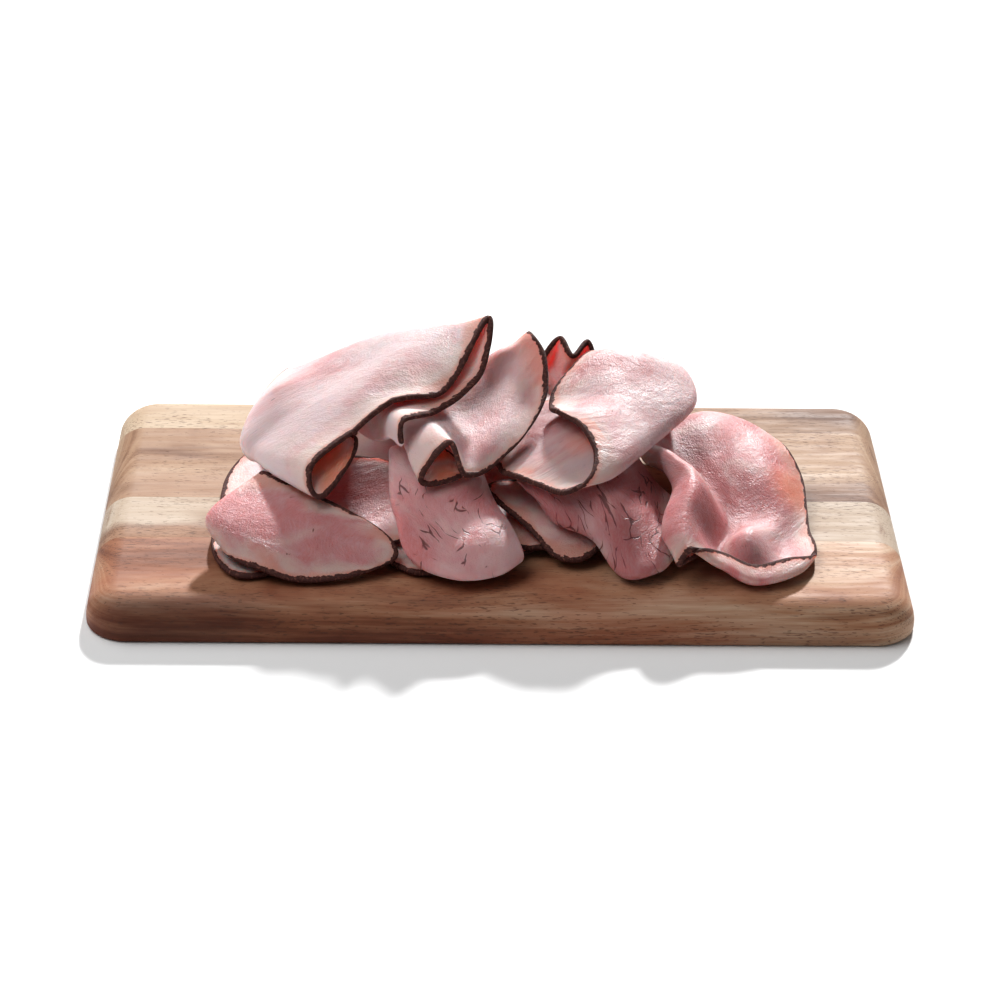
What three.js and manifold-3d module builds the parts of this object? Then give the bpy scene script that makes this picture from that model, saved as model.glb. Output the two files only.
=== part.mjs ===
// Serving board of four glued wooden staves, with a pile of eleven folded slices of smoked ham.
// Millimetres, +Z up. The origin is the middle of the board's underside, +X runs along the board
// to the right and +Y to the back.
import * as THREE from "three";
import * as BufferGeometryUtils from "three/addons/utils/BufferGeometryUtils.js";
import Module from "manifold-3d";

const wasm = await Module();
wasm.setup();

// Board.
const BOARD_LENGTH = 305;
const BOARD_DEPTH = 165;
const BOARD_THICKNESS = 15;
const BOARD_CORNER = 16;
const TOP_ROUND = 12;
const FOOT_ROUND = 1.5;
const CORNER_STEPS = 7;
const TOP_STEPS = 7;
const FOOT_STEPS = 3;
const GLUE_GAP = 0.3;

// Glue lines between the staves, as Y positions from front to back.
const GLUE_LINES = [-32, -2, 53];

const STAVES = [
  { name: "board_stave_1", colour: 0x8f5a36, front: null, back: 0 },
  { name: "board_stave_2", colour: 0xc79b6c, front: 0, back: 1 },
  { name: "board_stave_3", colour: 0xb98458, front: 1, back: 2 },
  { name: "board_stave_4", colour: 0xd0a780, front: 2, back: null },
];

// Ham slices.
const SLICE_THICKNESS = 2;
const STEPS_PER_SPAN = 3;
const LAY_GAP = 0.35;
const HAM_COLOUR = 0xe3a6a0;

// The slices are laid in this order, and each lies wholly above those before it. A slice's net
// gives its middle surface by a few points: each row runs across the fold from rim to rim, and the
// rows follow one another along the fold. squareness is how far the slice fills the net's corners.
const SLICES = [
  // Lowest slice: flat on the board, folded back over itself at the rear to prop the pile.
  {
    name: "ham_base",
    squareness: 3,
    net: [
      [[-58, -52, 17], [-38, -62, 17], [-20, -60, 17], [4, -55, 17], [30, -48, 17]],
      [[-60, -25, 17], [-40, -25, 17], [-20, -25, 17], [6, -25, 17], [38, -22, 17]],
      [[-60, 12, 17], [-40, 14, 17], [-20, 14, 17], [6, 14, 17], [42, 12, 17]],
      [[-58, 44, 18], [-40, 50, 18], [-20, 52, 18], [6, 50, 18], [38, 44, 18]],
      [[-56, 50, 24], [-40, 57, 27], [-20, 59, 28], [6, 57, 27], [36, 50, 25]],
      [[-54, 40, 34], [-40, 44, 39], [-20, 46, 41], [5, 45, 38], [34, 40, 33]],
      [[-52, 26, 40], [-40, 27, 46], [-20, 28, 49], [4, 28, 43], [33, 26, 36]],
      [[-50, 6, 36], [-40, 6, 40], [-20, 6, 42], [4, 6, 38], [32, 8, 33]],
    ],
  },
  // Flat slice at the far left, its rear third folded forward.
  {
    name: "ham_left_low",
    squareness: 4,
    net: [
      [[-115, -50, 20], [-97, -64, 17], [-78, -58, 17], [-64, -48, 17]],
      [[-108, -24, 17], [-93, -26, 17], [-78, -22, 17], [-64, -20, 17]],
      [[-106, 8, 17], [-92, 12, 17], [-78, 12, 17], [-66, 12, 17]],
      [[-99, 27, 18], [-89, 38, 18], [-78, 42, 18], [-68, 36, 18]],
      [[-90, 26, 24], [-86, 38, 28], [-78, 42, 30], [-68, 36, 28]],
      [[-86, 10, 27], [-82, 12, 33], [-76, 12, 34], [-68, 12, 32]],
    ],
  },
  // Narrow folded slice low in the middle, opening to the left.
  {
    name: "ham_mid_low",
    squareness: 5,
    net: [
      [[8, -48, 17], [20, -46, 17], [36, -42, 17], [39, -45, 22], [31, -54, 19], [19, -57, 17]],
      [[2, -42, 17], [20, -40, 17], [41, -36, 17], [42, -38, 22], [25, -44, 23], [11, -43, 22]],
      [[-6, -32, 19], [14, -26, 18], [41, -20, 18], [41, -22, 23], [21, -27, 25], [-1, -30, 27]],
      [[-12, -16, 22], [8, -8, 20], [35, -2, 19], [35, -5, 24], [15, -10, 27], [-14, -15, 33]],
    ],
  },
  // Front left slice, folded like a book with its spine at the left.
  {
    name: "ham_left_front",
    squareness: 4.5,
    net: [
      [[-42, -60, 18], [-57, -66, 17], [-78, -67, 17], [-96, -60, 19], [-102, -51, 20],
        [-95, -48, 18], [-66, -50, 18], [-30, -50, 18]],
      [[-38, -54, 22], [-58, -52, 25], [-79, -50, 27], [-100, -48, 28], [-108, -42, 30],
        [-98, -34, 26], [-68, -28, 25], [-30, -26, 25]],
      [[-44, -45, 29], [-61, -35, 32], [-79, -26, 35], [-86, -22, 36], [-89, -17, 35],
        [-83, -11, 32], [-64, -4, 36], [-30, -3, 38]],
    ],
  },
  // Front middle slice: a leaning face, its foot folded under and its sides curled back.
  {
    name: "ham_mid_front",
    squareness: 4,
    net: [
      [[-20, -24, 18], [-18, -24, 18], [-15, -25, 18], [-12, -26, 18], [-9, -27, 18]],
      [[-25, -44, 19], [-21, -50, 18], [-14, -52, 17], [-7, -51, 17], [-2, -46, 18]],
      [[-32, -52, 20], [-28, -60, 17], [-15, -65, 17], [-3, -62, 17], [4, -55, 18]],
      [[-37, -53, 24], [-33, -61, 22], [-17, -68, 21], [-1, -65, 21], [8, -57, 22]],
      [[-37, -46, 29], [-37, -50, 30], [-20, -54, 28], [-3, -53, 28], [4, -46, 26]],
      [[-35, -31, 30], [-40, -36, 35], [-22, -37, 35], [-8, -36, 33], [-3, -30, 30]],
      [[-35, -6, 38], [-41, -10, 43], [-24, -12, 43], [-12, -12, 41], [-8, -6, 36]],
    ],
  },
  // Front slice right of the middle: a leaning face with a rounded foot.
  {
    name: "ham_right_mid",
    squareness: 4,
    net: [
      [[24, -6, 24], [30, -10, 24], [37, -12, 22], [44, -12, 20], [48, -14, 19], [52, -16, 19]],
      [[19, -24, 22], [26, -30, 21], [36, -37, 18], [45, -46, 17], [51, -45, 17], [55, -41, 17]],
      [[15, -31, 21], [21, -42, 18], [33, -48, 17], [45, -61, 17], [56, -57, 17], [61, -50, 17]],
      [[12, -32, 25], [19, -43, 22], [33, -50, 22], [47, -64, 21], [59, -60, 21], [64, -52, 21]],
      [[7, -26, 28], [16, -35, 27], [33, -42, 27], [47, -53, 27], [61, -48, 25], [67, -41, 23]],
      [[5, -17, 31], [14, -25, 32], [32, -30, 33], [47, -35, 32], [62, -33, 27], [71, -31, 23]],
      [[4, -4, 33], [14, -8, 36], [32, -10, 40], [46, -8, 40], [55, -12, 33], [72, -20, 24]],
    ],
  },
  // Right end slice: rolled left side, ridge along the rear, short turned-up hem in front.
  {
    name: "ham_right_end",
    squareness: 4.5,
    net: [
      [[76, -61, 17], [66, -65, 18], [70, -62, 25], [80, -57, 25], [93, -61, 22], [107, -54, 22],
        [120, -47, 20]],
      [[75, -54, 17], [62, -57, 19], [68, -60, 24], [80, -63, 23], [93, -68, 19], [110, -60, 19],
        [119, -42, 19]],
      [[73, -46, 17], [60, -51, 20], [68, -54, 25], [80, -57, 20], [92, -61, 17], [107, -53, 17],
        [118, -36, 18]],
      [[74, -36, 17], [61, -43, 22], [69, -46, 27], [80, -47, 18], [91, -48, 27], [104, -41, 18],
        [117, -27, 17]],
      [[76, -22, 20], [65, -26, 27], [74, -29, 33], [84, -30, 22], [94, -30, 22], [106, -24, 23],
        [117, -14, 19]],
      [[68, -4, 26], [58, -8, 31], [62, -13, 36], [72, -8, 29], [84, -4, 33], [101, -4, 32],
        [117, 2, 22]],
      [[64, 16, 27], [54, 8, 31], [56, 6, 37], [66, 15, 36], [80, 24, 38], [97, 24, 34],
        [114, 14, 27]],
      [[62, 34, 17], [52, 32, 19], [56, 38, 23], [68, 44, 24], [82, 46, 24], [98, 42, 22],
        [112, 30, 18]],
    ],
  },
  // Crumpled slice behind the ridge, its ruffled rim standing up.
  {
    name: "ham_back_ruffle",
    squareness: 5,
    net: [
      [[6, -4, 40], [14, -6, 41], [22, -5, 41], [30, -6, 41], [40, -6, 41]],
      [[8, 8, 42], [14, 8, 43], [22, 8, 43], [30, 8, 43], [38, 8, 43]],
      [[11, 28, 44], [16, 29, 44], [23, 27, 44], [29, 29, 43], [37, 28, 42]],
      [[14, 42, 46], [20, 46, 47], [25, 40, 47], [31, 45, 47], [38, 41, 45]],
      [[17, 44, 56], [24, 49, 60], [29, 41, 56], [35, 48, 59], [39, 43, 54]],
    ],
  },
  // Upper right slice, folded over with the spine at the lower right.
  {
    name: "ham_right_top",
    squareness: 4.5,
    net: [
      [[26, -16, 57], [31, -23, 54], [34, -30, 50], [32, -39, 46], [22, -46, 42], [10, -40, 43]],
      [[19, -9, 55], [34, -16, 55], [43, -29, 50], [41, -37, 45], [24, -36, 43], [4, -33, 42]],
      [[18, -2, 54], [42, 0, 56], [57, -8, 51], [56, -14, 46], [38, -18, 49], [-1, -26, 41]],
      [[20, 9, 57], [42, 18, 60], [69, 9, 55], [71, 5, 51], [46, 2, 49], [-3, -10, 44]],
      [[29, 25, 60], [42, 31, 62], [66, 28, 59], [72, 22, 53], [54, 17, 50], [5, 8, 48]],
      [[35, 37, 59], [48, 41, 55], [64, 37, 52], [68, 32, 46], [54, 27, 45], [38, 26, 46]],
      [[44, 40, 54], [50, 50, 45], [62, 47, 44], [66, 42, 39], [56, 36, 40], [46, 32, 42]],
    ],
  },
  // Upper middle slice, leaning on the pile with one pleat in its foot.
  {
    name: "ham_mid_top",
    squareness: 7,
    net: [
      [[-3, -33, 38], [-29, -38, 41], [-19, -31, 54], [-14, -37, 44], [-3, -29, 41], [6, -20, 45],
        [12, -12, 50]],
      [[-17, -22, 43], [-34, -26, 47], [-25, -20, 53], [-13, -23, 48], [-1, -16, 50], [9, -8, 53],
        [16, -3, 56]],
      [[-37, -2, 46], [-36, -8, 48], [-29, -6, 51], [-14, -6, 53], [2, -3, 57], [12, 4, 59],
        [18, 5, 61]],
      [[-28, 10, 50], [-24, 8, 53], [-16, 9, 57], [-6, 10, 62], [5, 15, 65], [12, 16, 68],
        [17, 16, 69]],
      [[-20, 20, 54], [-14, 21, 58], [-7, 21, 62], [-1, 20, 67], [5, 22, 69], [10, 25, 72],
        [12, 25, 73]],
      [[-19, 38, 46], [-14, 40, 47], [-8, 40, 50], [-2, 40, 53], [4, 38, 57], [9, 36, 61],
        [12, 33, 66]],
      [[-21, 52, 38], [-16, 56, 39], [-10, 57, 40], [-4, 56, 42], [2, 53, 46], [8, 48, 52],
        [12, 42, 59]],
    ],
  },
  // Top left slice: a long roll folded over along the ridge, open at its right end.
  {
    name: "ham_left_top",
    squareness: 7,
    net: [
      [[-32, -38, 45], [-36, -24, 52], [-24, -11, 52], [-7, 3, 60], [-4, 20, 79], [-20, -3, 58],
        [-42, -11, 57], [-69, -30, 46], [-65, -39, 36], [-46, -18, 49]],
      [[-47, -8, 42], [-48, 4, 52], [-38, 14, 59], [-28, 25, 68], [-25, 27, 74], [-35, 11, 69],
        [-58, -5, 58], [-84, -18, 43], [-79, -27, 38], [-58, -9, 48]],
      [[-66, 14, 42], [-66, 22, 49], [-60, 29, 54], [-52, 34, 60], [-49, 31, 67], [-57, 16, 62],
        [-75, 1, 53], [-92, -8, 41], [-89, -14, 38], [-74, 0, 44]],
      [[-80, 18, 37], [-82, 26, 42], [-82, 32, 46], [-80, 34, 51], [-77, 28, 55], [-84, 17, 53],
        [-93, 8, 46], [-98, -2, 39], [-93, -5, 34], [-84, 8, 35]],
      [[-76, 22, 36], [-75, 30, 39], [-75, 37, 42], [-76, 42, 45], [-81, 42, 48], [-88, 36, 45],
        [-95, 24, 39], [-97, 12, 34], [-90, 12, 30], [-82, 16, 32]],
    ],
  },
];

// Plan outline of the board, pulled in by inset, counter-clockwise at height z.
function boardOutline(inset, z) {
  const halfLength = BOARD_LENGTH / 2 - inset;
  const halfDepth = BOARD_DEPTH / 2 - inset;
  const radius = Math.max(BOARD_CORNER - inset, 3);
  const corners = [
    [halfLength - radius, halfDepth - radius, 0],
    [radius - halfLength, halfDepth - radius, 1],
    [radius - halfLength, radius - halfDepth, 2],
    [halfLength - radius, radius - halfDepth, 3],
  ];
  const points = [];
  for (const [cx, cy, quarter] of corners) {
    for (let step = 0; step <= CORNER_STEPS; step += 1) {
      const angle = ((quarter + step / CORNER_STEPS) * Math.PI) / 2;
      points.push([cx + radius * Math.cos(angle), cy + radius * Math.sin(angle), z]);
    }
  }
  return points;
}

// The whole board as stacked outlines: a small round at the foot and a large one at the top.
function boardGeometry() {
  const rings = [];
  for (let step = 0; step <= FOOT_STEPS; step += 1) {
    const angle = ((step / FOOT_STEPS) * Math.PI) / 2;
    rings.push(boardOutline(FOOT_ROUND * (1 - Math.sin(angle)), FOOT_ROUND * (1 - Math.cos(angle))));
  }
  for (let step = 0; step <= TOP_STEPS; step += 1) {
    const angle = ((step / TOP_STEPS) * Math.PI) / 2;
    const height = BOARD_THICKNESS - TOP_ROUND * (1 - Math.sin(angle));
    rings.push(boardOutline(TOP_ROUND * (1 - Math.cos(angle)), height));
  }
  const count = rings[0].length;
  const positions = rings.flat();
  const faces = [];
  for (let ring = 0; ring < rings.length - 1; ring += 1) {
    for (let point = 0; point < count; point += 1) {
      const next = (point + 1) % count;
      const a = ring * count + point;
      const b = ring * count + next;
      faces.push([a, b, b + count]);
      faces.push([a, b + count, a + count]);
    }
  }
  const topStart = (rings.length - 1) * count;
  for (let point = 1; point < count - 1; point += 1) {
    faces.push([0, point + 1, point]);
    faces.push([topStart, topStart + point, topStart + point + 1]);
  }
  return closedGeometry(positions, faces);
}

function closedGeometry(positions, faces) {
  const geometry = new THREE.BufferGeometry();
  geometry.setAttribute("position", new THREE.Float32BufferAttribute(positions.flat(), 3));
  geometry.setIndex(faces.flat());
  return geometry;
}

function toManifold(geometry) {
  const plain = geometry.clone();
  plain.deleteAttribute("normal");
  plain.deleteAttribute("uv");
  const merged = BufferGeometryUtils.mergeVertices(plain, 1e-4);
  const mesh = new wasm.Mesh({
    numProp: 3,
    vertProperties: new Float32Array(merged.attributes.position.array),
    triVerts: new Uint32Array(merged.index.array),
  });
  return new wasm.Manifold(mesh);
}

function fromManifold(solid) {
  const mesh = solid.getMesh();
  const geometry = new THREE.BufferGeometry();
  geometry.setAttribute("position", new THREE.BufferAttribute(mesh.vertProperties, 3));
  geometry.setIndex(new THREE.BufferAttribute(mesh.triVerts, 1));
  return geometry;
}

// One stave: the board between two glue lines, half the glue gap short of each.
function staveGeometry(board, stave) {
  const front = stave.front === null ? -BOARD_DEPTH : GLUE_LINES[stave.front] + GLUE_GAP / 2;
  const back = stave.back === null ? BOARD_DEPTH : GLUE_LINES[stave.back] - GLUE_GAP / 2;
  const slab = new THREE.BoxGeometry(BOARD_LENGTH * 2, back - front, BOARD_THICKNESS * 4);
  slab.translate(0, (front + back) / 2, 0);
  return fromManifold(board.intersect(toManifold(slab)));
}

// Catmull-Rom weights of the four points around a place between the middle two.
function splineWeights(f) {
  return [
    0.5 * (-f + 2 * f * f - f * f * f),
    0.5 * (2 - 5 * f * f + 3 * f * f * f),
    0.5 * (f + 4 * f * f - 3 * f * f * f),
    0.5 * (-f * f + f * f * f),
  ];
}

// A point of the spline through a list of points, at a place counted in spans from its start.
function splinePoint(points, place) {
  const last = points.length - 1;
  const span = Math.min(Math.floor(place), last - 1);
  const weights = splineWeights(place - span);
  const before = (index, axis) => {
    if (index < 0) {
      return 2 * points[0][axis] - points[1][axis];
    }
    if (index > last) {
      return 2 * points[last][axis] - points[last - 1][axis];
    }
    return points[index][axis];
  };
  return [0, 1, 2].map((axis) => {
    let sum = 0;
    for (let k = 0; k < 4; k += 1) {
      sum += weights[k] * before(span - 1 + k, axis);
    }
    return sum;
  });
}

// Middle surface of a slice as a grid of points, its corners rounded off by the squareness.
function sliceSurface(slice) {
  const spansAcross = slice.net[0].length - 1;
  const spansAlong = slice.net.length - 1;
  const across = spansAcross * STEPS_PER_SPAN;
  const along = spansAlong * STEPS_PER_SPAN;
  const grid = [];
  for (let j = 0; j <= along; j += 1) {
    const line = [];
    for (let i = 0; i <= across; i += 1) {
      const a = (2 * i) / across - 1;
      const b = (2 * j) / along - 1;
      const high = Math.max(Math.abs(a), Math.abs(b));
      const low = Math.min(Math.abs(a), Math.abs(b));
      const ratio = high > 0 ? low / high : 0;
      const shrink = 1 / (1 + ratio ** slice.squareness) ** (1 / slice.squareness);
      const u = ((a * shrink + 1) / 2) * spansAcross;
      const v = ((b * shrink + 1) / 2) * spansAlong;
      const rail = slice.net.map((row) => splinePoint(row, u));
      line.push(splinePoint(rail, v));
    }
    grid.push(line);
  }
  return grid;
}

function difference(grid, j, i, dj, di) {
  const j0 = Math.max(j - dj, 0);
  const j1 = Math.min(j + dj, grid.length - 1);
  const i0 = Math.max(i - di, 0);
  const i1 = Math.min(i + di, grid[0].length - 1);
  const start = new THREE.Vector3(...grid[j0][i0]);
  const steps = j1 - j0 + i1 - i0;
  return new THREE.Vector3(...grid[j1][i1]).sub(start).divideScalar(steps);
}

// The slice as a closed body: two skins half a thickness either side of the middle, and a rim.
function sliceSolid(grid) {
  const rows = grid.length;
  const columns = grid[0].length;
  const skins = [[], []];
  for (let j = 0; j < rows; j += 1) {
    for (let i = 0; i < columns; i += 1) {
      const normal = difference(grid, j, i, 0, 1).cross(difference(grid, j, i, 1, 0)).normalize();
      normal.multiplyScalar(SLICE_THICKNESS / 2);
      const middle = new THREE.Vector3(...grid[j][i]);
      skins[0].push(middle.clone().add(normal).toArray());
      skins[1].push(middle.clone().sub(normal).toArray());
    }
  }
  const size = rows * columns;
  const faces = [];
  for (let j = 0; j < rows - 1; j += 1) {
    for (let i = 0; i < columns - 1; i += 1) {
      const a = j * columns + i;
      const b = a + 1;
      const c = b + columns;
      const d = a + columns;
      faces.push([a, b, c], [a, c, d]);
      faces.push([size + a, size + c, size + b], [size + a, size + d, size + c]);
    }
  }
  const rim = [];
  for (let i = 0; i < columns - 1; i += 1) {
    rim.push(i);
  }
  for (let j = 0; j < rows - 1; j += 1) {
    rim.push(j * columns + columns - 1);
  }
  for (let i = columns - 1; i > 0; i -= 1) {
    rim.push((rows - 1) * columns + i);
  }
  for (let j = rows - 1; j > 0; j -= 1) {
    rim.push(j * columns);
  }
  rim.forEach((a, index) => {
    const b = rim[(index + 1) % rim.length];
    faces.push([b, a, size + a], [b, size + a, size + b]);
  });
  return { positions: [...skins[0], ...skins[1]], faces };
}

// Height map in square cells, used to lay each slice on top of those before it.
const CELL = 2;
const MAP_LEFT = -130;
const MAP_FRONT = -80;
const MAP_COLUMNS = 130;
const MAP_ROWS = 80;
const SPREAD = 3;
const LAY_ROUNDS = 8;
const EMPTY_LOW = 1e9;

function blankMap(value) {
  return new Float64Array(MAP_COLUMNS * MAP_ROWS).fill(value);
}

// Highest and lowest height of a body over every cell that it may touch.
function heightRange(body) {
  const top = blankMap(-EMPTY_LOW);
  const bottom = blankMap(EMPTY_LOW);
  for (const face of body.faces) {
    const corners = face.map((index) => body.positions[index]);
    const xs = corners.map((p) => p[0]);
    const ys = corners.map((p) => p[1]);
    const zs = corners.map((p) => p[2]);
    const lowest = Math.min(...zs);
    const highest = Math.max(...zs);
    const ex = [xs[1] - xs[0], ys[1] - ys[0], zs[1] - zs[0]];
    const ey = [xs[2] - xs[0], ys[2] - ys[0], zs[2] - zs[0]];
    const nx = ex[1] * ey[2] - ex[2] * ey[1];
    const ny = ex[2] * ey[0] - ex[0] * ey[2];
    const nz = ex[0] * ey[1] - ex[1] * ey[0];
    const turn = nz > 0 ? 1 : -1;
    const steep = Math.abs(nz) < 1e-6;
    const slopeX = steep ? 0 : -nx / nz;
    const slopeY = steep ? 0 : -ny / nz;
    const margin = ((Math.abs(slopeX) + Math.abs(slopeY)) * CELL) / 2;
    const i0 = Math.max(Math.floor((Math.min(...xs) - MAP_LEFT) / CELL), 0);
    const i1 = Math.min(Math.floor((Math.max(...xs) - MAP_LEFT) / CELL), MAP_COLUMNS - 1);
    const j0 = Math.max(Math.floor((Math.min(...ys) - MAP_FRONT) / CELL), 0);
    const j1 = Math.min(Math.floor((Math.max(...ys) - MAP_FRONT) / CELL), MAP_ROWS - 1);
    for (let j = j0; j <= j1; j += 1) {
      for (let i = i0; i <= i1; i += 1) {
        const x = MAP_LEFT + (i + 0.5) * CELL;
        const y = MAP_FRONT + (j + 0.5) * CELL;
        let touches = true;
        for (let k = 0; k < 3; k += 1) {
          const next = (k + 1) % 3;
          const dx = xs[next] - xs[k];
          const dy = ys[next] - ys[k];
          const side = (dx * (y - ys[k]) - dy * (x - xs[k])) * turn;
          touches = touches && side >= (-(Math.abs(dx) + Math.abs(dy)) * CELL) / 2;
        }
        if (!touches) {
          continue;
        }
        const here = zs[0] + slopeX * (x - xs[0]) + slopeY * (y - ys[0]);
        const high = steep ? highest : Math.min(Math.max(here + margin, lowest), highest);
        const low = steep ? lowest : Math.min(Math.max(here - margin, lowest), highest);
        const cell = j * MAP_COLUMNS + i;
        top[cell] = Math.max(top[cell], high);
        bottom[cell] = Math.min(bottom[cell], low);
      }
    }
  }
  return { top, bottom };
}

// One pass of a running maximum or mean over a cell's neighbours along one direction.
function spreadPass(map, alongX, combine) {
  const result = blankMap(0);
  for (let j = 0; j < MAP_ROWS; j += 1) {
    for (let i = 0; i < MAP_COLUMNS; i += 1) {
      const values = [];
      for (let k = -SPREAD; k <= SPREAD; k += 1) {
        const ii = alongX ? Math.min(Math.max(i + k, 0), MAP_COLUMNS - 1) : i;
        const jj = alongX ? j : Math.min(Math.max(j + k, 0), MAP_ROWS - 1);
        values.push(map[jj * MAP_COLUMNS + ii]);
      }
      result[j * MAP_COLUMNS + i] = combine(values);
    }
  }
  return result;
}

function spread(map) {
  const largest = (values) => Math.max(...values);
  const mean = (values) => values.reduce((sum, value) => sum + value, 0) / values.length;
  let result = map;
  for (const combine of [largest, mean]) {
    result = spreadPass(spreadPass(result, true, combine), false, combine);
  }
  return result;
}

function mapValue(map, x, y) {
  const u = (x - MAP_LEFT) / CELL - 0.5;
  const v = (y - MAP_FRONT) / CELL - 0.5;
  const i = Math.min(Math.max(Math.floor(u), 0), MAP_COLUMNS - 2);
  const j = Math.min(Math.max(Math.floor(v), 0), MAP_ROWS - 2);
  const f = Math.min(Math.max(u - i, 0), 1);
  const g = Math.min(Math.max(v - j, 0), 1);
  const at = (jj, ii) => map[jj * MAP_COLUMNS + ii];
  const near = at(j, i) * (1 - f) + at(j, i + 1) * f;
  const far = at(j + 1, i) * (1 - f) + at(j + 1, i + 1) * f;
  return near * (1 - g) + far * g;
}

// Raises a slice, smoothly from place to place, until all of it clears what it lies on.
function laySlice(slice, pile) {
  let grid = sliceSurface(slice);
  let body = sliceSolid(grid);
  let range = heightRange(body);
  for (let round = 0; round < LAY_ROUNDS; round += 1) {
    const need = pile.map((height, cell) => {
      const low = range.bottom[cell];
      return low < EMPTY_LOW ? Math.max(0, height + LAY_GAP - low) : 0;
    });
    if (Math.max(...need) < 0.02) {
      break;
    }
    const lift = spread(need);
    grid = grid.map((line) => line.map(([x, y, z]) => [x, y, z + mapValue(lift, x, y)]));
    body = sliceSolid(grid);
    range = heightRange(body);
  }
  range.top.forEach((height, cell) => {
    pile[cell] = Math.max(pile[cell], height);
  });
  return body;
}

// A mesh of a body, turned so that its faces look outwards.
function bodyMesh(name, body, material) {
  const geometry = closedGeometry(body.positions, body.faces);
  let volume = 0;
  for (const [a, b, c] of body.faces) {
    const pa = new THREE.Vector3(...body.positions[a]);
    const pb = new THREE.Vector3(...body.positions[b]);
    const pc = new THREE.Vector3(...body.positions[c]);
    volume += pa.dot(pb.cross(pc)) / 6;
  }
  if (volume < 0) {
    geometry.setIndex(body.faces.map(([a, b, c]) => [a, c, b]).flat());
  }
  geometry.computeVertexNormals();
  const mesh = new THREE.Mesh(geometry, material);
  mesh.name = name;
  return mesh;
}

const model = new THREE.Group();
model.name = "ham_serving_board";

const board = toManifold(boardGeometry());
for (const stave of STAVES) {
  const geometry = staveGeometry(board, stave);
  geometry.computeVertexNormals();
  const material = new THREE.MeshStandardMaterial({
    color: stave.colour,
    roughness: 0.55,
    metalness: 0,
  });
  const mesh = new THREE.Mesh(geometry, material);
  mesh.name = stave.name;
  model.add(mesh);
}

const pile = blankMap(BOARD_THICKNESS);
for (const slice of SLICES) {
  const material = new THREE.MeshStandardMaterial({
    color: HAM_COLOUR,
    roughness: 0.35,
    metalness: 0,
    side: THREE.DoubleSide,
  });
  model.add(bodyMesh(slice.name, laySlice(slice, pile), material));
}

export default model;
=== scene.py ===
import math

import bmesh
import bpy
import numpy as np
from mathutils import Matrix, Vector


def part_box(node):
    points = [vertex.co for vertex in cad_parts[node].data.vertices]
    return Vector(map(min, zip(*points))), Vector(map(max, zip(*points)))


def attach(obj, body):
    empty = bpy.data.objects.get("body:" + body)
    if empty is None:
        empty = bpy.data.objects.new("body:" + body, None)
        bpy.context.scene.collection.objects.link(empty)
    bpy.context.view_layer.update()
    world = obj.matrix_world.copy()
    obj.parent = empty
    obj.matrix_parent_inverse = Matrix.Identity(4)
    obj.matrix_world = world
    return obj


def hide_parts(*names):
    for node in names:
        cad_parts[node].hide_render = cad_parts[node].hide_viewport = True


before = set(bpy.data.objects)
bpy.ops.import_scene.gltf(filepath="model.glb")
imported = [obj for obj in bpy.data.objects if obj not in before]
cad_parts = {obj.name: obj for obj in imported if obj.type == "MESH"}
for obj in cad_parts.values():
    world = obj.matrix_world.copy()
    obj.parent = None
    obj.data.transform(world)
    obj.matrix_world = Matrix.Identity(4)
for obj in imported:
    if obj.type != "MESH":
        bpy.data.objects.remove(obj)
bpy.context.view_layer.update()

# A serving board of four glued staves under eleven folded slices of ham. Each CAD node is replaced by a finer
# mesh of the same shape, which rides on the same body. Nets and dimensions are in millimetres; meshes,
# pattern scales and lights are in metres.
MM = 0.001
scene = bpy.context.scene

# ---------------------------------------------------------------- dimensions, in millimetres
board_low, board_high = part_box("board_stave_1")
LENGTH = (board_high[0] - board_low[0]) / MM
DEPTH = -2 * board_low[1] / MM
THICK = (board_high[2] - board_low[2]) / MM
CORNER = 16.0
TOP_ROUND = 12.0
FOOT_ROUND = 1.5
SLICE_THICKNESS = 2.0
STEPS_PER_SPAN = 3
LAY_GAP = 0.35
SEAM = 0.03

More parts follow.
